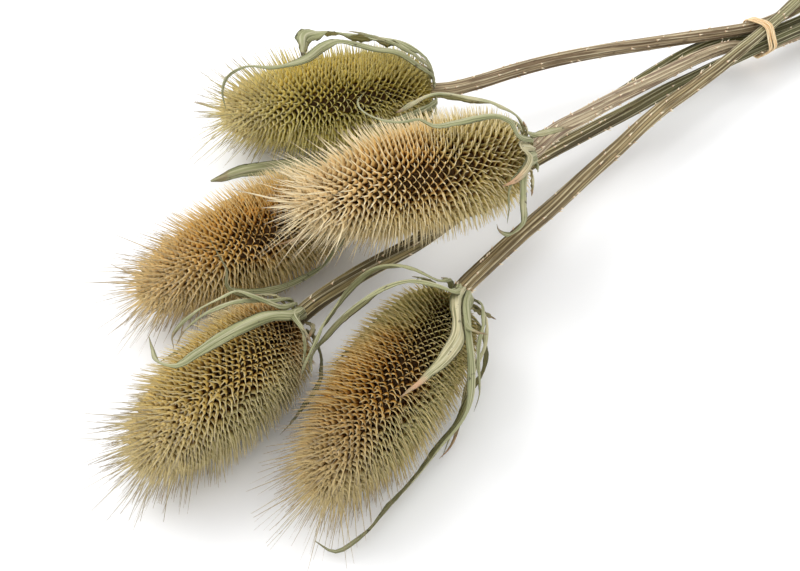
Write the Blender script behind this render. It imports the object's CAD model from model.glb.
"""A bunch of five dried teasels tied with raffia, finished over its solids."""
import math

import bpy
import numpy as np
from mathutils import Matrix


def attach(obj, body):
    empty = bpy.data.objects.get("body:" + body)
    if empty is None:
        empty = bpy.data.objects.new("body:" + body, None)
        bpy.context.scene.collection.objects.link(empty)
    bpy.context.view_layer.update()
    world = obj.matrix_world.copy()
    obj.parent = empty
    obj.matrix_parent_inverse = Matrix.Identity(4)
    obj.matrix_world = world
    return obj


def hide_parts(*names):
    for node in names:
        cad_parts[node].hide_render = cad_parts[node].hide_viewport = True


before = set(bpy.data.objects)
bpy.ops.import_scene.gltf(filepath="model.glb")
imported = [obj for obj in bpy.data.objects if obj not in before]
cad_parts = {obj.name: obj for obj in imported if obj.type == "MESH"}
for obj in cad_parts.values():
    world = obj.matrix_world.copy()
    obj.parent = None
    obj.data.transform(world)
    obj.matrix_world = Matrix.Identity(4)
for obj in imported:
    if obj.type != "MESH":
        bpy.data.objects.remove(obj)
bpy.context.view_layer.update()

# The cores of the seed heads.
# Each is the egg-shaped end of a stem that the florets once sat on: dry, dark and pitted. It shows
# only as the floor of the cells between the scales.
MM = 0.001
SEED = 20
TIE_PLACE = np.array([80.87, -2.90, 0])
HEADS = {
    1: {"base": (-137, 50, 19.5), "tip": (-205, 85, 18.5), "radius": 13.4},
    2: {"base": (-146.5, -15, 41.5), "tip": (-221, 5, 44.5), "radius": 13.4},
    3: {"base": (-196.5, 23, 19), "tip": (-273.5, 24.5, 18), "radius": 12.4},
    4: {"base": (-242, -15.5, 19), "tip": (-305, -32.5, 18), "radius": 13.4},
    5: {"base": (-195.5, -40.5, 20), "tip": (-267.5, -72, 18.5), "radius": 13.4},
}
CORE_SHAPE = [(0, 0.0), (0.05, 0.62), (0.12, 0.84), (0.25, 0.97), (0.42, 1.0), (0.6, 0.95),
              (0.78, 0.8), (0.9, 0.58), (0.96, 0.36), (1, 0.0)]
CORE_RINGS = 60
CORE_SECTORS = 48
CORE_PIT = 0.25
CORE_BROWN = (0.16, 0.09, 0.035)
CORE_DUST = (0.36, 0.22, 0.09)


class Term:
    """A socket of a material, which + - * and / turn into Math nodes."""

    def __init__(self, finish, socket):
        self.finish = finish
        self.socket = socket

    def math(self, operation, first, second):
        return self.finish.node("ShaderNodeMath", {"operation": operation}, {0: first, 1: second})

    def __add__(self, other):
        return self.math("ADD", self, other)

    def __radd__(self, other):
        return self.math("ADD", other, self)

    def __sub__(self, other):
        return self.math("SUBTRACT", self, other)

    def __rsub__(self, other):
        return self.math("SUBTRACT", other, self)

    def __mul__(self, other):
        return self.math("MULTIPLY", self, other)

    def __rmul__(self, other):
        return self.math("MULTIPLY", other, self)

    def __truediv__(self, other):
        return self.math("DIVIDE", self, other)


class Finish:
    """A material whose colours and masks are written as Python expressions."""

    def __init__(self, name, **sockets):
        self.material = bpy.data.materials.new(name)
        self.material.use_nodes = True
        self.tree = self.material.node_tree
        self.shader = self.tree.nodes["Principled BSDF"]
        for socket, value in sockets.items():
            self.shader.inputs[socket.replace("_", " ")].default_value = value

    def node(self, kind, settings, inputs, output=0):
        """A node of one type, its settings set first, then the values or links of its sockets."""
        made = self.tree.nodes.new(kind)
        for setting, value in settings.items():
            setattr(made, setting, value)
        for socket, value in inputs.items():
            self.feed(made.inputs[socket], value)
        return Term(self, made.outputs[output])

    def feed(self, socket, value):
        """A link where the value is a term, and a plain value otherwise."""
        if isinstance(value, Term):
            self.tree.links.new(value.socket, socket)
        elif isinstance(value, tuple) and len(value) == 3 and socket.type == "RGBA":
            socket.default_value = (*value, 1)
        else:
            socket.default_value = value

    def mark(self, name):
        """A value that the mesh carries at each point."""
        return self.node("ShaderNodeAttribute", {"attribute_name": name}, {}, "Fac")

    def places(self, stretch=(1, 1, 1)):
        """The point's place in the frame, stretched along the axes."""
        place = self.node("ShaderNodeTexCoord", {}, {}, "Object")
        return self.node("ShaderNodeVectorMath", {"operation": "MULTIPLY"}, {0: place, 1: stretch})

    def noise(self, scale, detail=3, places=None):
        """Cloudy noise from 0 to 1, with scale lumps to the metre."""
        at = places or self.places()
        sockets = {"Vector": at, "Scale": scale, "Detail": detail}
        return self.node("ShaderNodeTexNoise", {}, sockets, "Fac")

    def ramp(self, value, low, high):
        """0 below low, 1 above high, and a smooth climb between them."""
        sockets = {"Value": value, "From Min": low, "From Max": high}
        return self.node("ShaderNodeMapRange", {"interpolation_type": "SMOOTHSTEP"}, sockets)

    def mix(self, mask, first, second):
        """The first colour where the mask is 0, and the second where it is 1."""
        return self.node("ShaderNodeMix", {"data_type": "RGBA"}, {0: mask, 6: first, 7: second}, 2)

    def shade(self, colour, factor):
        """A colour times a number."""
        return self.node("ShaderNodeVectorMath", {"operation": "SCALE"}, {0: colour, 3: factor})

    def bump(self, height, distance):
        """Bumps of a height in metres, on the shader's normal."""
        bump = self.node("ShaderNodeBump", {}, {"Height": height, "Distance": distance}, "Normal")
        self.feed(self.shader.inputs["Normal"], bump)

    def colour(self, value):
        self.feed(self.shader.inputs["Base Color"], value)


def on_table(table, at):
    """The value at a place, on straight lines between the table's points."""
    places, values = zip(*table)
    return np.interp(at, places, values)


def unit(vectors):
    """Vectors of length 1 in the same directions."""
    return vectors / np.linalg.norm(vectors, axis=-1, keepdims=True)


def head_axes(head):
    """A head's base, its length, and its axes as rows: up, sideways, and along it to its tip."""
    base, tip = np.array(head["base"], float), np.array(head["tip"], float)
    along = unit(tip - base)
    up = unit(np.array([0, 0, 1.0]) - along[2] * along)
    return base, np.linalg.norm(tip - base), np.array([up, np.cross(along, up), along])


def loft(name, rings, marks):
    """A closed skin over loops of points: each ring joins the next by quads, and both ends are capped.

    rings is in millimetres from the tie and is indexed by shape, ring, point and axis. Each loop
    runs counter-clockwise round the way ahead.
    """
    shapes, count, around, _ = rings.shape
    index = np.arange(shapes * count * around).reshape(shapes, count, around)
    here, ahead = index[:, :-1], index[:, 1:]
    quads = np.stack([here, np.roll(here, -1, 2), np.roll(ahead, -1, 2), ahead], axis=-1)
    caps = np.concatenate([index[:, 0, ::-1], index[:, -1]])
    quad_count = quads.size // 4
    corners = np.concatenate([quads.ravel(), caps.ravel()])
    starts = np.concatenate([np.arange(quad_count) * 4, quad_count * 4 + np.arange(len(caps)) * around])
    mesh = bpy.data.meshes.new(name)
    mesh.vertices.add(index.size)
    mesh.vertices.foreach_set("co", ((rings + TIE_PLACE) * MM).astype(np.float32).ravel())
    mesh.loops.add(len(corners))
    mesh.loops.foreach_set("vertex_index", corners.astype(np.int32))
    mesh.polygons.add(len(starts))
    mesh.polygons.foreach_set("loop_start", starts.astype(np.int32))
    mesh.polygons.foreach_set("use_smooth", np.ones(len(starts), bool))
    for mark, values in marks.items():
        layer = mesh.attributes.new(mark, "FLOAT", "POINT")
        layer.data.foreach_set("value", np.broadcast_to(values, index.shape).astype(np.float32).ravel())
    mesh.update(calc_edges=True)
    piece = bpy.data.objects.new(name, mesh)
    bpy.context.scene.collection.objects.link(piece)
    return piece


def dress(piece, node, finish):
    """A piece that stands for a node of the solids, with its material."""
    piece.data.materials.append(finish.material)
    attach(piece, "root")
    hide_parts(node)


def core_finish():
    """Dark brown pith with paler dust on its bumps."""
    finish = Finish("core_pith", Roughness=0.9)
    dust = finish.noise(900)
    finish.colour(finish.mix(finish.ramp(dust, 0.45, 0.75), CORE_BROWN, CORE_DUST))
    finish.bump(dust, 0.0004)
    return finish


def make_core(number, head, finish):
    """A turned egg: the radius table round the axis, with rings that crowd towards both ends."""
    base, length, axes = head_axes(head)
    rng = np.random.default_rng(SEED + number)
    share = (1 - np.cos(np.linspace(0.04, math.pi - 0.04, CORE_RINGS))) / 2
    angle = np.linspace(0, 2 * math.pi, CORE_SECTORS, endpoint=False)
    radius = on_table(CORE_SHAPE, share)[:, None] * head["radius"]
    radius = radius - CORE_PIT * rng.random((CORE_RINGS, CORE_SECTORS)) * (radius > 2)
    local = np.stack([radius * np.cos(angle), radius * np.sin(angle),
                      np.broadcast_to(share[:, None] * length, radius.shape)], axis=-1)
    piece = loft(f"head_{number}_core", (local @ axes + base)[None], {})
    dress(piece, f"head_{number}", finish)


core_pith = core_finish()
for head_number, head_values in HEADS.items():
    make_core(head_number, head_values, core_pith)

# The scales of the seed heads.
# Over a thousand stiff dry bracts stand on each core, in the spirals of a pine cone. Each is a folded
# cup that walls one cell with its two arms, up to its neighbours, and is drawn out to a long awn;
# those at the tip are the longest and make its loose tuft.
GOLDEN_ANGLE = math.pi * (3 - math.sqrt(5))
NEIGHBOURS = (5, 8, 13, 21, 34, 55, 89)
# Along the head: how far apart the rims of the cells are, in mm, as a share of the head's own pitch
CELL_PITCH = [(0, 0.78), (0.2, 0.8), (0.42, 1.0), (0.7, 1.04), (0.85, 0.92), (1, 0.85)]
HEAD_PITCH = {1: 2.1, 2: 2.25, 3: 1.95, 4: 1.9, 5: 1.9}
SPINE_LEAN = {
    1: [(0, -22), (0.1, -14), (0.25, -5), (0.5, 7), (0.7, 20), (0.85, 37), (0.95, 52), (1, 68)],
    2: [(0, -15), (0.1, -6), (0.25, 3), (0.5, 14), (0.7, 29), (0.85, 45), (0.95, 56), (1, 68)],
    3: [(0, -12), (0.1, -2), (0.25, 9), (0.5, 21), (0.7, 36), (0.85, 47), (0.95, 57), (1, 68)],
    4: [(0, 2), (0.06, 16), (0.15, 26), (0.3, 30), (0.5, 34), (0.7, 42), (0.85, 50), (1, 68)],
    5: [(0, 0), (0.06, 15), (0.12, 26), (0.3, 31), (0.5, 34), (0.7, 41), (0.85, 49), (1, 68)],
}
SPINE_LENGTH = [(0, 6.4), (0.1, 7.4), (0.3, 8.6), (0.6, 10.4), (0.75, 13.5), (0.88, 18.5), (1, 24)]
LEAN_SCATTER = [(0, 2.5), (0.8, 3), (1, 9)]
TUFT_SLIM = [(0, 1), (0.8, 1), (0.95, 0.55), (1, 0.5)]
# Past this place along the head only a few awns have the table's length, and the rest this share of it
TUFT_FROM = 0.72
TUFT_LONG = 0.2
TUFT_SHORT = 0.6
TURN_SCATTER = 0.012
LENGTH_SCATTER = 0.07
AWN_BEND = 6
AWN_CURL = 0.7
CUP_HEIGHT = 3.7
# Up a scale: place (the cup's part is 0 to 0.5, the awn's 0.5 to 1), arms' reach, thickness in mm
SCALE_RINGS = [(-0.05, 1.0, 0.22), (0.36, 1.0, 0.22), (0.46, 0.85, 0.22), (0.54, 0.32, 0.22),
               (0.63, 0.15, 0.22), (1, 0.025, 0.07)]
CUP_BULGE = 0.16
# Head 2 lies over head 3 and over two stems: its spines stop at a plane between the heads and at
# this height, and head 3's stop at the same plane
REST_HEIGHT = 20.2
PLANE_POINT = np.array([-215, 12.5, 35])
PLANE_NORMAL = np.array([0, -0.56, 0.83])
# A head's colours: on the side that faces "from" and on the other, below "reach" along it, at its tip,
# inside the cells, and up the awns
SCALE_TINTS = {
    1: {"lit": (0.88, 0.72, 0.20), "shaded": (0.76, 0.68, 0.20), "foot": (0.74, 0.63, 0.20),
        "tuft": (0.76, 0.64, 0.34), "cell": (0.80, 0.62, 0.16), "awn": (0.62, 0.55, 0.22),
        "from": 1.0, "grey": 0.55, "reach": 0.34},
    2: {"lit": (0.84, 0.57, 0.20), "shaded": (0.82, 0.66, 0.30), "foot": (0.72, 0.60, 0.24),
        "tuft": (0.88, 0.70, 0.42), "cell": (0.72, 0.42, 0.13), "awn": (0.94, 0.83, 0.58),
        "from": 0.5, "grey": 0.0, "reach": 0.5},
    3: {"lit": (0.76, 0.46, 0.10), "shaded": (0.66, 0.51, 0.19), "foot": (0.58, 0.44, 0.15),
        "tuft": (0.88, 0.70, 0.38), "cell": (0.68, 0.36, 0.08), "awn": (0.72, 0.55, 0.28),
        "from": 0.4, "grey": 0.75, "reach": 0.4},
    4: {"lit": (0.74, 0.54, 0.15), "shaded": (0.58, 0.52, 0.24), "foot": (0.58, 0.34, 0.10),
        "tuft": (0.76, 0.64, 0.34), "cell": (0.60, 0.34, 0.09), "awn": (0.62, 0.53, 0.30),
        "from": 0.6, "grey": 0.8, "reach": 0.3},
    5: {"lit": (0.54, 0.28, 0.035), "shaded": (0.54, 0.50, 0.23), "foot": (0.50, 0.44, 0.15),
        "tuft": (0.66, 0.54, 0.29), "cell": (0.60, 0.32, 0.08), "awn": (0.58, 0.45, 0.20),
        "from": 0.8, "grey": 0.65, "reach": 0.48},
}
CELL_FLOOR = (0.50, 0.29, 0.10)
RIM_CREAM = (0.86, 0.74, 0.46)
AWN_TIP = (0.34, 0.26, 0.20)
AWN_GREY = (0.30, 0.25, 0.18)


def scale_finish(number, tints):
    """Dark in the cell, the head's own colour up the cup, cream along its rim, and straw on the awn."""
    finish = Finish(f"scales_{number}", Roughness=0.7, Specular_IOR_Level=0.2)
    rise, along, edge = finish.mark("rise"), finish.mark("along"), finish.mark("edge")
    around, chance = finish.mark("around"), finish.mark("chance")
    patch = finish.noise(70, 2)
    side = finish.ramp(around + (patch - 0.5) * 1.6, -0.4, 0.6)
    body = finish.mix(side, tints["shaded"], tints["lit"])
    body = finish.mix(finish.ramp(along + (patch - 0.5) * 0.3, tints["reach"], tints["reach"] - 0.24), body, tints["foot"])
    body = finish.mix(finish.ramp(along, 0.6, 1.0) * 0.85, body, tints["tuft"])
    body = finish.shade(body, chance * 0.4 + 0.78)
    deep = finish.mix(finish.ramp(rise, 0.0, 0.2), CELL_FLOOR, tints["cell"])
    cup = finish.mix(finish.ramp(rise, 0.14, 0.42), deep, body)
    rim = finish.ramp(rise, 0.26, 0.46) * finish.ramp(edge, 0.55, 1.0)
    cup = finish.mix(rim * 0.65, cup, RIM_CREAM)
    awn = finish.mix(finish.ramp(rise, 0.5, 0.75) * 0.75, cup, tints["awn"])
    bleached = finish.ramp(along, 0.6, 0.85) * finish.ramp(rise, 0.6, 0.86) * tints["grey"]
    awn = finish.mix(bleached, awn, AWN_GREY)
    point = finish.mix(finish.ramp(along, 0.45, 0.75), RIM_CREAM, AWN_TIP)
    finish.colour(finish.mix(finish.ramp(rise, 0.78, 1.0) * 0.7, awn, point))
    finish.bump(finish.noise(3000, 2), 0.0001)
    return finish


def stopped(root, tip, planes):
    """How much of each spine is left when it ends at the first plane that it would pass."""
    share = np.ones(len(root))
    for point, normal in planes:
        ahead, behind = (tip - point) @ normal, (root - point) @ normal
        cut = (ahead < 0) & (behind > 0)
        share = np.where(cut, np.minimum(share, behind / np.where(cut, behind - ahead, 1)), share)
    return share


def make_scales(number, head):
    """Scales at even spacing over the rims of the cells, the golden angle apart.

    Each scale's centre line leaves the core at the lean of the table and bends towards the tip. Its
    section is a U: from the centre line, an arm on each side reaches towards the centre line of the
    nearest later scale on that side, all the way in the cup and less and less up the awn.
    """
    rng = np.random.default_rng(SEED + number)
    base, length, axes = head_axes(head)
    grid = np.linspace(0, 1, 400)
    profile = on_table(CORE_SHAPE, grid) * head["radius"]
    step = np.hypot(np.diff(grid) * length, np.diff(profile))
    girth = (profile[1:] + profile[:-1] + 2 * CUP_HEIGHT) * math.pi
    pitch = on_table(CELL_PITCH, grid[1:]) * HEAD_PITCH[number]
    crowd = np.append(0, np.cumsum(step * girth / pitch ** 2))
    count = int(crowd[-1])
    k = np.arange(count)
    share = np.interp(k + 0.5, crowd, grid)
    turn = k * GOLDEN_ANGLE + rng.normal(0, TURN_SCATTER, count)
    radius = np.interp(share, grid, profile)

    spine = on_table(SPINE_LENGTH, share) * (1 + rng.normal(0, LENGTH_SCATTER, count))
    short = (share > TUFT_FROM) & (rng.random(count) > TUFT_LONG)
    spine = np.where(short, spine * TUFT_SHORT, spine)
    lean = on_table(SPINE_LEAN[number], share) + rng.normal(0, 1, count) * on_table(LEAN_SCATTER, share)
    level, width, thickness = np.array(SCALE_RINGS).T
    cup = np.minimum(CUP_HEIGHT, spine * 0.6)[:, None]
    height = np.where(level < 0.5, level * 2 * cup, cup + (level * 2 - 1) * (spine[:, None] - cup))
    out = np.stack([np.cos(turn), np.sin(turn), 0 * turn], axis=-1)
    side = np.stack([-np.sin(turn), np.cos(turn), 0 * turn], axis=-1)
    ahead = np.array([0, 0, 1.0])
    root = out * radius[:, None] + ahead * (share * length)[:, None]
    curl = rng.normal(0, AWN_CURL, (count, 1, 1)) * (np.clip(level * 2 - 1, 0, 1) ** 2)[:, None]

    def line(share_left):
        """Each scale's centre line, for spines drawn back to a share of their length."""
        h = height * share_left[:, None]
        angle = np.radians(lean[:, None] + AWN_BEND * (h / spine[:, None] - 0.4))
        way = np.cos(angle)[..., None] * out[:, None] + np.sin(angle)[..., None] * ahead
        mid = (way[:, 1:] + way[:, :-1]) / 2
        run = np.cumsum(mid * np.diff(h, axis=1)[..., None], axis=1)
        start = root[:, None] + way[:, :1] * h[:, :1, None]
        return np.concatenate([start, start + run], axis=1) + curl * side[:, None]

    planes = [(np.array([0, 0, REST_HEIGHT if number == 2 else 0.3]), np.array([0, 0, 1.0]))]
    if number == 2:
        planes.append((PLANE_POINT, PLANE_NORMAL))
    if number == 3:
        planes.append((PLANE_POINT, -PLANE_NORMAL))
    full = line(np.ones(count))
    left_over = stopped(root @ axes + base, full[:, -1] @ axes + base, planes)
    centre = line(np.maximum(left_over, 0.3))

    later = np.minimum(k + np.array(NEIGHBOURS)[:, None], count - 1)
    rim = full[:, 2]
    gap = rim[later] - rim
    across = (gap * side).sum(-1)
    arms = []
    for hand in (-1, 1):
        far = np.where(across * hand > 0, np.linalg.norm(gap, axis=-1), np.inf)
        nearest = later[far.argmin(0), k]
        arm = full[nearest] - full
        spare = (hand * side + ahead)[:, None] * on_table(CELL_PITCH, 1) * HEAD_PITCH[number] / 2
        arms.append(np.where(np.isfinite(far.min(0))[:, None, None], arm, spare))
    width = np.where(level < 0.5, width, width * on_table(TUFT_SLIM, share)[:, None])[..., None]
    left, right = (arm * width for arm in arms)
    foot = -unit(unit(arms[0]) + unit(arms[1]))
    thick = thickness[:, None] / 2
    bulge = CUP_BULGE * width * HEAD_PITCH[number]
    section = np.stack([left, left / 2 + foot * (bulge + thick), foot * thick,
                        right / 2 + foot * (bulge + thick), right,
                        right / 2 + foot * (bulge - thick), -foot * thick,
                        left / 2 + foot * (bulge - thick)], axis=2)
    rings = centre[:, :, None] + section
    lit = np.cos(turn - SCALE_TINTS[number]["from"])
    marks = {"rise": np.clip(level, 0, 1)[None, :, None], "along": share[:, None, None],
             "around": lit[:, None, None], "chance": rng.random(count)[:, None, None],
             "edge": np.array([1, 0.5, 0, 0.5, 1, 0.5, 0, 0.5])[None, None]}
    piece = loft(f"head_{number}_scales", rings @ axes + base, marks)
    dress(piece, f"head_{number}", scale_finish(number, SCALE_TINTS[number]))


for head_number, head_values in HEADS.items():
    make_scales(head_number, head_values)

# The long bracts below the heads.
# Narrow dry leaves grow from a ring under each head and curve up round it. They are papery,
# grey-green, folded along a pale midrib, with wavy edges and tips that have dried tan.
# By head: each blade's width, its hue from 0, green, to 1, straw with a salmon tip, and its route, as
# the place along the head, the distance from the head's axis, and the degrees round it from the top
BRACTS = {
    1: [
        (7.0, 0.1, [(6, 20, 16), (19, 23.5, 26), (30, 25.5, 32), (38, 27, 34), (44, 27, 28), (46, 26, 10),
               (47, 25, -2)]),
        (4.0, 0.15, [(5, 22, -20), (11, 26, -12), (20.5, 27, -6), (27, 28, -1), (34.5, 28, 4), (39.5, 27, 1),
               (45, 25.5, -6), (57.5, 24, -9), (70.5, 23, -4), (74.5, 22, -7), (78, 21.5, -26),
               (77.5, 21, -44)]),
        (2.6, 0.55, [(5, 20, -4), (12, 24.5, 2), (21, 27.5, 8), (30, 29.5, 12)]),
        (5.6, 0.1, [(10, 21, -118), (34, 23.5, -120), (56, 24, -116), (74, 25, -111), (83, 26, -114), (87, 27, -112)]),
        (3.4, 0.4, [(8, 21, 95), (28, 23.5, 98), (46, 23.5, 92)]),
        (3.0, 0.5, [(8, 21, -70), (20, 23.5, -74), (32, 24, -76)]),
    ],
    2: [
        (4.0, 0.2, [(7.5, 22, -24), (9, 25, -17), (13, 26, -11), (20, 25, -6), (27, 24, -4), (34, 23.5, -1),
               (37, 24, 7), (44, 24, 10), (50, 25, 18), (53, 27, 32), (52, 30, 42), (49, 32, 44)]),
        (5.0, 0.62, [(8, 20.5, 20), (17, 24, 30), (26, 26.5, 42), (31, 26, 43), (37, 24, 40), (42, 24, 28)]),
        (4.6, 0.85, [(6, 20, -40), (5, 22.5, -48), (7, 24, -55), (12, 25, -61), (18, 26, -63)]),
        (4.2, 0.45, [(5, 19.5, -52), (9, 24, -66), (10.5, 27, -81), (11.5, 28.5, -98), (15, 28.5, -105),
               (20, 28, -96), (21, 28, -90)]),
        (2.8, 0.3, [(8, 20, -60), (15, 24, -69), (16, 26, -84), (16.5, 27, -95)]),
        (3.0, 0.6, [(-5, 7.6, 4), (-12, 7.4, 2), (-20, 7, -2)]),
        (3.2, 0.3, [(8, 20.5, 100), (25, 24, 96), (41, 24, 90)]),
    ],
    3: [
        (4.4, 0.05, [(7, 19.5, -74), (15, 21.5, -87), (23, 22.5, -98), (35, 23, -99), (47, 22.5, -88), (56.5, 22.5, -62),
               (55, 23, -51), (55.5, 24, -40), (56, 26, -25)]),
        (3.2, 0.9, [(12, 21, -70), (22, 24, -58), (30, 25, -54), (38, 25.5, -50)]),
        (3.4, 0.3, [(8, 20, 95), (25, 22.5, 94), (42, 22.5, 88)]),
        (3.0, 0.4, [(8, 20, 124), (20, 22, 122), (32, 22.6, 118)]),
    ],
    4: [
        (4.6, 0.2, [(7, 21, -24), (12, 23, -15), (21, 24, -7), (31, 24, -1), (38, 24, 2), (45.5, 24, 7),
               (47.5, 25, 14), (44, 26, 34), (41.5, 28, 42)]),
        (2.8, 0.5, [(8, 21, -10), (12, 25, 4), (14, 25.5, 18), (20, 25.5, 26), (29, 25.5, 35), (37.5, 25.5, 28),
               (42, 26, 14)]),
        (2.4, 0.5, [(9, 21, 0), (16, 24.5, 12), (24, 26, 19), (34, 26, 22), (41, 26.5, 14)]),
        (3.4, 0.55, [(7, 21.5, -28), (9, 24, -43), (10, 25, -54)]),
        (3.0, 0.6, [(6, 20, -30), (11, 24.5, -46), (16, 26, -55), (21, 26.5, -62)]),
        (3.2, 0.4, [(8, 22, 120), (18, 24, 112), (28, 24.5, 102), (38, 24, 94)]),
        (3.0, 0.3, [(7, 20.5, -118), (20, 22.9, -116), (31, 23.6, -110)]),
    ],
    5: [
        (5.0, 0.25, [(9, 21, -13), (11, 23, -3), (14, 25, 13), (18.5, 25.5, 30), (26, 26, 45), (34, 26.5, 60),
               (41, 26.5, 64), (48, 26, 60), (56, 25, 42)]),
        (3.4, 0.35, [(8, 21, 4), (9, 25, 24), (13, 29, 50), (20, 30, 62), (28, 29.5, 66), (36, 29, 66),
               (44, 28, 58), (54, 27, 50), (62, 27, 39)]),
        (5.8, 0.75, [(10, 20.5, -24), (15.5, 22.5, -31), (22, 24.5, -38), (30, 26, -38), (42.5, 27.5, -33),
               (55, 29, -27)]),
        (5.6, 0.0, [(10, 20.5, -34), (18, 23.5, -46), (25, 25, -62), (31, 25.5, -80), (35.5, 24.5, -102),
               (44, 23.5, -116), (56.5, 23, -124), (68.5, 21.5, -128), (82, 20, -132), (89, 18, -146),
               (89, 15, -168)]),
        (3.6, 0.68, [(10, 19.5, -76), (22, 20, -100), (28, 23, -116), (35, 26, -122), (41, 27, -124), (45, 26.5, -126)]),
        (2.6, 0.2, [(8, 20, -56), (15.5, 20, -72), (20.5, 22, -89), (24, 24.5, -101), (28, 26, -110)]),
        (4.8, 0.6, [(12, 20.5, -36), (17, 24, -42), (18, 27, -46), (18, 30, -49)]),
        (3.2, 0.3, [(8, 20.5, -116), (22, 24, -128), (34, 26, -130), (44, 27, -126)]),
        (3.4, 0.3, [(8, 20.5, 110), (24, 23.5, 110), (38, 23.5, 102)]),
    ],
}
BRACT_ROOT = [(-2.2, 4.7), (-2.2, 9)]
BRACT_WIDTH_SHAPE = [(0, 0.4), (0.12, 0.55), (0.3, 0.92), (0.48, 1), (0.68, 0.75), (0.85, 0.42), (0.94, 0.2),
                     (1, 0.04)]
# The ring's own short leaves, as shares round it: how far along the head each ends, and how far out
CROWN_LEAVES = 9
CROWN_WIDTH = 2.8
CROWN_ALONG = (-1, 5)
CROWN_OUT = (12, 17)
# Crumpled leaves, by head and place in its list: how far their edges stand up and down, in mm, and
# how far the leaf has rolled over by its end, in degrees
CRUMPLED = {(1, 0): (1.3, 20), (1, 3): (0.9, 80)}
CRUMPLED_SHAPE = [(0, 0.6), (0.4, 0.8), (0.75, 1), (0.92, 0.8), (1, 0.15)]
BRACT_STEPS = 52
BRACT_ACROSS = np.array([-1, -0.66, -0.33, 0, 0.33, 0.66, 1])
BRACT_THICKNESS = 0.36
BRACT_FOLD = 0.42
BRACT_RIB = 0.18
BRACT_ROLL = 38
RIPPLE_HEIGHT = 0.3
RIPPLE_COUNT = 6
BRACT_GREEN = (0.33, 0.335, 0.17)
BRACT_SHADE = (0.10, 0.11, 0.04)
BRACT_STRAW = (0.56, 0.49, 0.29)
BRACT_RIB_PALE = (0.60, 0.57, 0.38)
BRACT_BROWN = (0.33, 0.23, 0.13)
BRACT_TAN = (0.62, 0.38, 0.22)
BRACT_SPOT = (0.06, 0.045, 0.03)


def smooth_route(points, count, crowding=1):
    """Points along a cubic curve through the given ones, closer at its start for a crowding above 1."""
    p = np.array(points, float)
    knots = np.append(0, np.cumsum(np.linalg.norm(np.diff(p, axis=0), axis=1)))
    slopes = np.gradient(p, knots, axis=0)
    at = knots[-1] * np.linspace(0, 1, count) ** crowding
    i = np.clip(np.searchsorted(knots, at, side="right") - 1, 0, len(p) - 2)
    span = (knots[i + 1] - knots[i])[:, None]
    t = (at - knots[i])[:, None] / span
    places = p[i] * (1 + 2 * t) * (1 - t) ** 2 + p[i + 1] * t ** 2 * (3 - 2 * t)
    bends = slopes[i] * t * (1 - t) ** 2 - slopes[i + 1] * t ** 2 * (1 - t)
    return places + bends * span


def bract_finish(number):
    """Grey-green or straw with dark veins, a pale midrib, spots, and a tip dried to brown or salmon."""
    finish = Finish(f"bract_leaf_{number}", Roughness=0.65, Specular_IOR_Level=0.3)
    across, along, hue = finish.mark("across"), finish.mark("along"), finish.mark("hue")
    cloud = finish.noise(160, 3)
    lay = finish.node("ShaderNodeCombineXYZ", {}, {0: across * 6, 1: along * 4, 2: hue * 40})
    veins = finish.noise(1, 4, lay)
    leaf = finish.mix(finish.ramp(hue + (cloud - 0.5) * 0.9, 0.45, 0.85), BRACT_GREEN, BRACT_STRAW)
    leaf = finish.mix(finish.ramp(veins, 0.54, 0.34) * 0.75, leaf, BRACT_SHADE)
    leaf = finish.mix(finish.ramp(veins, 0.5, 0.66) * 0.6, leaf, BRACT_RIB_PALE)
    leaf = finish.mix(finish.ramp(across * across, 0.05, 0.0) * 0.5, leaf, BRACT_RIB_PALE)
    leaf = finish.mix(finish.ramp(across * across, 0.6, 1.0) * 0.45, leaf, BRACT_SHADE)
    tip = finish.mix(finish.ramp(hue, 0.6, 0.7), BRACT_BROWN, BRACT_TAN)
    leaf = finish.mix(finish.ramp(along + hue * 0.3 + (cloud - 0.5) * 0.5, 0.95, 1.2), leaf, tip)
    spots = finish.ramp(finish.noise(420, 2), 0.62, 0.7) * finish.ramp(cloud, 0.48, 0.58)
    finish.colour(finish.mix(spots * 0.8, leaf, BRACT_SPOT))
    finish.bump(veins, 0.0005)
    return finish


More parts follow.
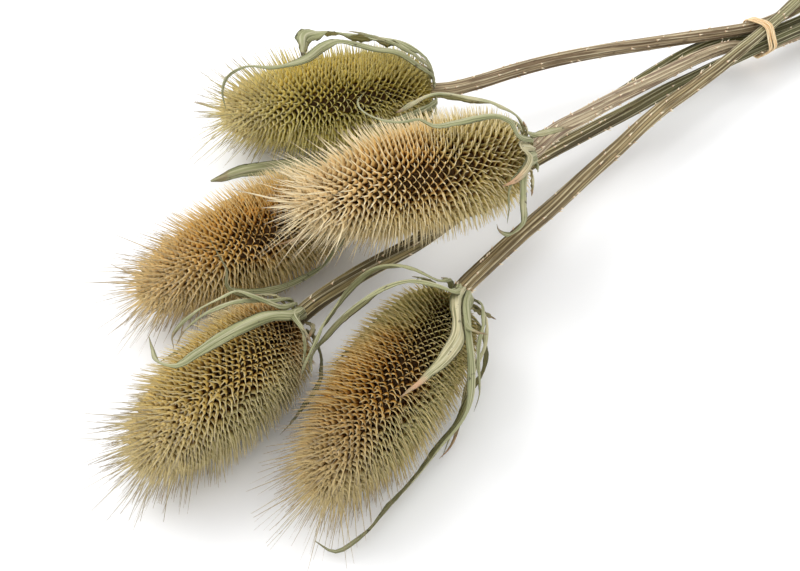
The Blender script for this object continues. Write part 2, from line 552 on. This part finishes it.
def blade_rings(width, points, ripple, turn, shape, rng):
    """A blade along its route, in its head's axes.

    Its section is a V with the keel outwards, thick at the midrib and thin at the edges, which rise
    and fall in ripples. It rolls to one side along its way, and its width follows the table to a point.
    """
    named = [(along, out, points[0][2]) for along, out in BRACT_ROOT] + list(points)
    along, out, degrees = np.array(named, float).T
    angle = np.radians(degrees)
    route = smooth_route(np.stack([out * np.cos(angle), out * np.sin(angle), along], axis=-1), BRACT_STEPS)
    share = np.linspace(0, 1, BRACT_STEPS)
    ahead = unit(np.gradient(route, axis=0))
    outward = unit(route * np.array([1, 1, 0]))
    across = unit(np.cross(ahead, outward - np.array([0, 0, 1])))
    inward = np.cross(ahead, across)
    wave = rng.uniform(0, 2 * math.pi)
    roll = np.radians(0.6 * BRACT_ROLL * np.sin(share * 7 + wave) + turn) * share
    across, inward = (across * np.cos(roll)[:, None] + inward * np.sin(roll)[:, None],
                      inward * np.cos(roll)[:, None] - across * np.sin(roll)[:, None])
    u = BRACT_ACROSS
    half = width * on_table(shape, share)[:, None] / 2
    slim = np.minimum(1, half / 0.8)
    phase = rng.uniform(0, 2 * math.pi, 2)
    beat = RIPPLE_COUNT * 2 * math.pi * share[:, None] + np.where(u < 0, phase[0], phase[1])
    waves = np.sin(beat) * (0.6 + 0.4 * np.sin(2.7 * beat))
    fold = BRACT_FOLD * (1 + 0.5 * np.sin(share * 9 + phase[0]))[:, None]
    lift = half * fold * np.abs(u) + ripple * waves * u ** 2 * slim
    depth = BRACT_THICKNESS * (1 - 0.65 * np.abs(u)) * slim
    under = lift - depth / 2 - BRACT_RIB * np.exp(-(u / 0.18) ** 2) * slim
    over = lift + depth / 2
    x = np.concatenate([half * u, half * u[-2:0:-1]], axis=1)
    y = np.concatenate([under, over[:, -2:0:-1]], axis=1)
    marks = np.concatenate([u, u[-2:0:-1]])
    rings = route[:, None] + x[..., None] * across[:, None] + y[..., None] * inward[:, None]
    return rings, share, marks


def make_bracts(number, head):
    """A head's long blades, and the crown of short pointed leaves between them."""
    rng = np.random.default_rng(SEED * 2 + number)
    base, _, axes = head_axes(head)
    leaves = []
    hues = []
    for place, (width, hue, points) in enumerate(BRACTS[number]):
        hues.append(hue)
        crumpled = (number, place) in CRUMPLED
        ripple, roll = CRUMPLED.get((number, place), (RIPPLE_HEIGHT, BRACT_ROLL * rng.uniform(-1, 1)))
        leaves.append((width, points, ripple, roll, CRUMPLED_SHAPE if crumpled else BRACT_WIDTH_SHAPE))
    for leaf in range(CROWN_LEAVES):
        turn = (leaf + rng.uniform(-0.3, 0.3)) * 360 / CROWN_LEAVES
        end, out = rng.uniform(*CROWN_ALONG), rng.uniform(*CROWN_OUT)
        tip = (end, out, turn + rng.uniform(-8, 8))
        leaves.append((CROWN_WIDTH, [tip], RIPPLE_HEIGHT, 0, BRACT_WIDTH_SHAPE))
        hues.append(rng.uniform(0.2, 0.8))
    made = [blade_rings(*leaf, rng) for leaf in leaves]
    rings = np.stack([blade[0] for blade in made])
    marks = {"along": made[0][1][None, :, None], "across": made[0][2][None, None, :],
             "hue": np.array(hues)[:, None, None]}
    blades = loft(f"bracts_{number}_blades", rings @ axes + base, marks)
    dress(blades, f"bracts_{number}", bract_finish(number))


for head_number, head_values in HEADS.items():
    make_bracts(head_number, head_values)

# The stems.
# Hollow, ribbed and dry, tan where they have bleached and grey-green where they have not. Rows of
# small pale prickles hook towards the cut end, and stand closest just below the head.
STEM_ROUTES = {
    1: [(-136.5, 49.8, 19.5), (-129.5, 46.2, 19.3), (-118, 43.2, 19), (-101, 40.5, 18.5), (-84, 36.8, 18),
        (-62, 29.6, 17.6), (-47, 23.4, 17.4), (-31, 16.6, 17.4), (-16, 10.3, 17.4), (-7, 7, 17.2), (0, 5.2, 16.9),
        (10, 4.9, 15.3), (22, 5.5, 13.9), (60, 10, 10), (110, 14.5, 6.5), (160, 19, 2.9)],
    2: [(-146, -15.1, 41.5), (-141.8, -16.2, 41.3), (-136, -14.4, 40.6), (-126, -11, 38.3), (-111, -7.8, 34.3),
        (-94, -4.2, 30), (-78, -1, 25.8), (-63, 1.6, 22), (-46, 3.7, 18.9), (-34, 4.3, 17.4), (-24, 4.2, 16),
        (-13, 4.1, 13), (-6, 2, 10.5), (0, -0.7, 9.5), (12, -2.2, 8.9), (60, -4.5, 5.6), (110, -8, 4),
        (158, -11, 2.9)],
    3: [(-196, 23, 19), (-188, 22.8, 18.9), (-176, 20, 18), (-158, 13.5, 16.7), (-141, 8.6, 16), (-125, 6.8, 15.5),
        (-105, 7.2, 14.6), (-82, 8, 13.7), (-69, 9.2, 13.2), (-57, 10.8, 12.8), (-45, 12, 12.4), (-32, 13, 11.8),
        (-21, 12.4, 11.5), (-13, 10.6, 11.3), (-6, 7.8, 11.4), (0, 5.1, 11.3), (12, 3.9, 9.5), (60, 3.8, 5.6),
        (110, 3.5, 4), (166, 3.5, 2.9)],
    4: [(-241.5, -15.4, 19), (-234, -13.5, 19), (-213.5, -10.5, 18), (-186, -9, 16.5), (-154, -4.5, 16),
        (-127, -1, 15.4), (-99.5, -0.5, 14.8), (-75, -0.4, 14), (-57, 0.2, 13.3), (-39, -0.1, 12.6),
        (-24, -0.6, 12.6), (-12, -2.2, 13.4), (-6, -3.1, 13.9), (0, -4, 14.2), (12, -5.2, 14.2), (50, -9.5, 11.5),
        (100, -16.5, 7), (162, -25, 2.9)],
    5: [(-195, -40.3, 20), (-189, -37.8, 19.9), (-174, -33.6, 19.5), (-158, -29.8, 19.2), (-138, -25.8, 19.2),
        (-118, -21.3, 19.4), (-97, -17, 19.6), (-84, -13.9, 19.6), (-70, -11, 19.4), (-54, -9, 19.1),
        (-34, -6.3, 19.1), (-20, -4, 19.3), (-10, -2.2, 19.3), (0, -0.1, 19.1), (8, 1.2, 19.8), (20, 3.9, 20),
        (32, 7.4, 19.3), (50, 12, 17), (100, 24, 11), (156, 36, 2.9)],
}
STEM_RADIUS = [(-150, 3.1), (-30, 2.65), (-6, 2.4), (6, 2.4), (150, 2.8)]
STEM_STEPS = 300
STEM_AROUND = 72
# Round the stem: where its ridges stand, in degrees, and how high and how wide a ridge is
STEM_RIDGES = np.array([0, 34, 80, 112, 160, 198, 232, 283, 320])
RIDGE_HEIGHT = 0.42
RIDGE_WIDTH = 9
PITH_SHARE = 0.62
PITH_DEPTH = 4.0
PRICKLES = 130
PRICKLE_CROWDING = 1.7
PRICKLE_HEIGHT = 1.1
PRICKLE_HOOK = 0.8
PRICKLE_RINGS = np.array([(0, 0.5), (0.35, 0.28), (0.7, 0.14), (1, 0.03)])
PRICKLE_SIDES = 6
TIE_ROOM = 6
STEM_TINTS = {
    1: {"face": (0.42, 0.33, 0.20), "dark": (0.13, 0.08, 0.04), "other": (0.27, 0.25, 0.10), "from": 0.55},
    2: {"face": (0.54, 0.44, 0.28), "dark": (0.20, 0.13, 0.08), "other": (0.34, 0.30, 0.18), "from": 0.6},
    3: {"face": (0.22, 0.19, 0.075), "dark": (0.05, 0.042, 0.015), "other": (0.16, 0.155, 0.055), "from": 0.4},
    4: {"face": (0.30, 0.235, 0.10), "dark": (0.06, 0.045, 0.02), "other": (0.14, 0.14, 0.055), "from": 0.4},
    5: {"face": (0.35, 0.265, 0.13), "dark": (0.09, 0.06, 0.025), "other": (0.36, 0.34, 0.18), "from": 0.5},
}
RIDGE_CREAM = (0.76, 0.69, 0.48)
PRICKLE_CREAM = (0.90, 0.80, 0.60)
PITH_CREAM = (0.80, 0.72, 0.52)
STAIN_BROWN = (0.07, 0.04, 0.022)


def stem_finish(number, tints):
    """Long streaks, tan, olive and dark, on the faces; the ridges are pale lines with a dark one beside."""
    finish = Finish(f"stem_{number}", Roughness=0.62, Specular_IOR_Level=0.3)
    rib, along, pith, turn = (finish.mark(name) for name in ("rib", "along", "pith", "turn"))
    lay = finish.node("ShaderNodeCombineXYZ", {}, {0: turn * 7, 1: along * 7, 2: number * 3.7})
    lanes = finish.noise(1, 2, lay)
    fine = finish.node("ShaderNodeCombineXYZ", {}, {0: turn * 30, 1: along * 24, 2: number * 3.7})
    fibres = finish.noise(1, 4, fine)
    other = finish.ramp(fibres * 0.4 + along - tints["from"], 0.1, 0.3)
    body = finish.mix(other, tints["face"], tints["other"])
    body = finish.mix(finish.ramp(lanes + (fibres - 0.5) * 0.5, 0.54, 0.42) * 0.8, body, tints["dark"])
    body = finish.shade(body, fibres * 1.3 + 0.4)
    body = finish.mix(finish.ramp(rib, 0.0, 0.22) * finish.ramp(rib, 0.62, 0.3) * 0.75, body, tints["dark"])
    crest = finish.ramp(rib, 0.6, 0.9) * finish.ramp(fibres, 0.36, 0.6)
    body = finish.mix(crest * 0.55, body, RIDGE_CREAM)
    stain = finish.ramp(finish.noise(1, 4, finish.places((130, 420, 420))), 0.62, 0.72)
    body = finish.mix(stain * 0.5, body, STAIN_BROWN)
    finish.colour(finish.mix(pith, body, PITH_CREAM))
    finish.bump(fibres, 0.0005)
    return finish


def prickle_finish():
    """Cream, browner at the root."""
    finish = Finish("prickle_horn", Roughness=0.5)
    finish.colour(finish.mix(finish.ramp(finish.mark("rise"), 0, 0.5), BRACT_TAN, PRICKLE_CREAM))
    return finish


def route_axes(route):
    """The way ahead along a route, and two axes square to it that keep the bunch's up."""
    ahead = unit(np.gradient(route, axis=0))
    side = unit(np.cross(np.array([0, 0, 1.0]), ahead))
    return ahead, side, np.cross(ahead, side)


def make_stem(number):
    """A tube with a rounded ridge at each listed angle. It ends in a rim and pith."""
    route = smooth_route(STEM_ROUTES[number], STEM_STEPS)
    ahead, side, above = route_axes(route)
    angle = np.linspace(0, 2 * math.pi, STEM_AROUND, endpoint=False)
    off = (angle[:, None] - np.radians(STEM_RIDGES) + math.pi) % (2 * math.pi) - math.pi
    rib = np.exp(-(off / math.radians(RIDGE_WIDTH)) ** 2).max(1)
    radius = on_table(STEM_RADIUS, route[:, 0])[:, None] - RIDGE_HEIGHT * (1 - rib)
    twist = angle + 0.6 * np.sin(route[:, :1] / 55 + number)
    around = np.cos(twist)[..., None] * side[:, None] + np.sin(twist)[..., None] * above[:, None]
    skin = route[:, None] + radius[..., None] * around
    end = route[-1] + radius[-1][:, None] * PITH_SHARE * around[-1]
    floor = end - ahead[-1] * PITH_DEPTH
    rings = np.concatenate([skin, end[None], floor[None]])[None]
    lap = 1 - np.abs(angle / math.pi - 1)
    pith = np.append(np.zeros(STEM_STEPS), [1, 1])[None, :, None]
    along = np.append(np.linspace(0, 1, STEM_STEPS), [1, 1])[None, :, None]
    piece = loft(f"stem_{number}_stalk", rings, {"rib": rib[None, None], "along": along, "pith": pith,
                                                       "turn": lap[None, None]})
    dress(piece, f"stem_{number}", stem_finish(number, STEM_TINTS[number]))


def make_prickles(number, finish):
    """Cones bent towards the cut end, on the ribs, clear of the other stems, the tie and the surface."""
    rng = np.random.default_rng(SEED * 3 + number)
    route = smooth_route(STEM_ROUTES[number], STEM_STEPS)
    ahead, side, above = route_axes(route)
    at = (rng.random(PRICKLES) ** PRICKLE_CROWDING * 0.94 + 0.02) * (STEM_STEPS - 1)
    i = at.astype(int)
    turn = np.radians(rng.choice(STEM_RIDGES, PRICKLES))
    turn = turn + 0.6 * np.sin(route[i, 0] / 55 + number)
    out = np.cos(turn)[:, None] * side[i] + np.sin(turn)[:, None] * above[i]
    radius = on_table(STEM_RADIUS, route[i, 0])[:, None]
    height = PRICKLE_HEIGHT * rng.uniform(0.4, 1.2, (PRICKLES, 1))
    tip = route[i] + out * (radius + height)
    others = np.concatenate([smooth_route(STEM_ROUTES[k], 400) for k in STEM_ROUTES if k != number])
    room = np.linalg.norm(others[None] - tip[:, None], axis=-1).min(1)
    keep = (room > radius[:, 0] + 0.4) & (np.abs(route[i, 0]) > TIE_ROOM) & (tip[:, 2] > 0.3)
    i, out, radius, height = i[keep], out[keep], radius[keep], height[keep]
    level, width = PRICKLE_RINGS.T
    spin = np.linspace(0, 2 * math.pi, PRICKLE_SIDES, endpoint=False)
    way = unit(out + PRICKLE_HOOK * ahead[i])
    cross = unit(np.cross(way, out + ahead[i]))
    third = np.cross(way, cross)
    centre = (route[i] + out * (radius - 0.3))[:, None] + way[:, None] * (level[:, None] * (height + 0.3)[:, None])
    centre = centre + ahead[i][:, None] * (level ** 2 * 0.35)[:, None] * height[:, None]
    ring = np.cos(spin)[:, None] * cross[:, None] + np.sin(spin)[:, None] * third[:, None]
    rings = centre[:, :, None] + width[:, None, None] * ring[:, None]
    piece = loft(f"stem_{number}_prickles", rings, {"rise": level[None, :, None]})
    dress(piece, f"stem_{number}", finish)


prickle_horn = prickle_finish()
for stem_number in STEM_ROUTES:
    make_stem(stem_number)
    make_prickles(stem_number, prickle_horn)

# The raffia tie.
# A flat dry fibre is wound six times round the stems and pulled tight, so it runs straight between
# the stems that it bends over. Its turns lie side by side, a little askew, and its ends are tucked in.
WINDS = 6
WIND_STEPS = 90
WIND_SPREAD = 4.6
WIND_MIDDLE = -1.7
STRAND_WIDTH = 0.9
STRAND_DEPTH = 0.6
STRAND_AROUND = 10
RAFFIA_PALE = (0.92, 0.78, 0.50)
RAFFIA_ORANGE = (0.66, 0.36, 0.13)


def raffia_finish():
    """Pale straw with orange fibres that run along the strand, and turns that differ in depth of colour."""
    finish = Finish("raffia_fibre", Roughness=0.5)
    along, turn = finish.mark("along"), finish.mark("turn")
    lay = finish.node("ShaderNodeCombineXYZ", {}, {0: turn * 4, 1: along * 10, 2: 0.0})
    fibre = finish.noise(1, 3, lay)
    finish.colour(finish.mix(finish.ramp(fibre, 0.36, 0.62), RAFFIA_ORANGE, RAFFIA_PALE))
    finish.bump(fibre, 0.0003)
    return finish


def make_tie(finish):
    """A strand along the line that a taut string takes round the stems' sections at the tie.

    That line is, for every outward direction, the point of the stems that lies furthest that way.
    """
    rng = np.random.default_rng(SEED)
    middles = [smooth_route(route, 800) for route in STEM_ROUTES.values()]
    centres = np.concatenate([m[np.abs(m[:, 0] - WIND_MIDDLE) < WIND_SPREAD / 2, 1:] for m in middles])
    angle = np.linspace(0, 2 * math.pi, 721)
    way = np.stack([np.cos(angle), np.sin(angle)], axis=-1)
    rim = on_table(STEM_RADIUS, 0) + STRAND_DEPTH / 2 + 0.1
    line = centres[(centres @ way.T).argmax(0)] + way * rim
    run = np.append(0, np.cumsum(np.linalg.norm(np.diff(line, axis=0), axis=1)))
    turns = np.linspace(0.1, WINDS - 0.1, WINDS * WIND_STEPS)
    at = (turns % 1) * run[-1]
    y, z = np.interp(at, run, line[:, 0]), np.interp(at, run, line[:, 1])
    middle = centres.mean(0)
    slack = 1.02 + 0.03 * np.sin(turns * 2.1 + 0.5) + 0.015 * np.sin(turns * 7.3)
    skew = 0.5 * np.sin(2 * math.pi * turns + 0.6) + 0.3 * np.sin(turns * 9.1)
    x = WIND_MIDDLE + (turns / WINDS - 0.5) * WIND_SPREAD + skew
    route = np.stack([x, middle[0] + (y - middle[0]) * slack, middle[1] + (z - middle[1]) * slack], axis=-1)
    ahead = unit(np.gradient(route, axis=0))
    outward = route - np.array([0, *middle])
    outward = unit(outward * np.array([0, 1, 1]))
    across = unit(np.cross(outward, ahead))
    outward = np.cross(ahead, across)
    spin = np.linspace(0, 2 * math.pi, STRAND_AROUND, endpoint=False)
    width = STRAND_WIDTH / 2 * (1 + 0.18 * np.sin(turns * 5.7 + rng.uniform(0, 6)))[:, None]
    rings = (route[:, None] + (width * np.cos(spin))[..., None] * across[:, None]
             + (STRAND_DEPTH / 2 * np.sin(spin))[:, None] * outward[:, None])
    marks = {"along": turns[None, :, None], "turn": (1 - np.abs(spin / math.pi - 1))[None, None]}
    piece = loft("tie_strand", rings[None], marks)
    dress(piece, "tie", finish)


make_tie(raffia_finish())

# The studio.
# A white sweep of table under soft light from behind and to the left, seen from half above.
CAMERA_PLACE = (np.array([-356.6, -234.1, 329.5]) + TIE_PLACE) * MM
CAMERA_TURN = -36
CAMERA_FALL = 50
CAMERA_LENS = 54
CAMERA_SENSOR = 36
FLOOR_SIZE = 12
FLOOR_WHITE = (0.96, 0.965, 0.975)


def make_floor():
    """A wide plain square just under the bunch."""
    corners = np.array([(-1, -1), (1, -1), (1, 1), (-1, 1)]) * FLOOR_SIZE / 2
    mesh = bpy.data.meshes.new("table")
    mesh.from_pydata([(x, y, 0) for x, y in corners], [], [(0, 1, 2, 3)])
    floor = bpy.data.objects.new("table", mesh)
    bpy.context.scene.collection.objects.link(floor)
    finish = Finish("table_white", Roughness=0.9)
    finish.colour(FLOOR_WHITE)
    mesh.materials.append(finish.material)


def make_light(name, power, size, place, target):
    """A square soft light that faces a point."""
    light = bpy.data.lights.new(name, "AREA")
    light.energy = power
    light.size = size
    lamp = bpy.data.objects.new(name, light)
    bpy.context.scene.collection.objects.link(lamp)
    away = np.array(place) - np.array(target)
    fall = math.atan2(math.hypot(away[0], away[1]), away[2])
    lamp.location = place
    lamp.rotation_euler = (fall, 0, math.atan2(away[0], -away[1]))


make_floor()
make_light("window", 24, 1.3, (-0.85, 1.5, 1.85), (-0.12, 0, 0))
sky = bpy.data.worlds.new("studio")
sky.use_nodes = True
sky.node_tree.nodes["Background"].inputs["Color"].default_value = (1, 1, 1, 1)
sky.node_tree.nodes["Background"].inputs["Strength"].default_value = 1.14
bpy.context.scene.world = sky

lens = bpy.data.cameras.new("camera")
lens.lens = CAMERA_LENS
lens.sensor_width = CAMERA_SENSOR
camera = bpy.data.objects.new("camera", lens)
bpy.context.scene.collection.objects.link(camera)
camera.location = CAMERA_PLACE
camera.rotation_euler = (math.radians(90 - CAMERA_FALL), 0, math.radians(CAMERA_TURN))
bpy.context.scene.camera = camera
bpy.context.scene.view_settings.view_transform = "Standard"
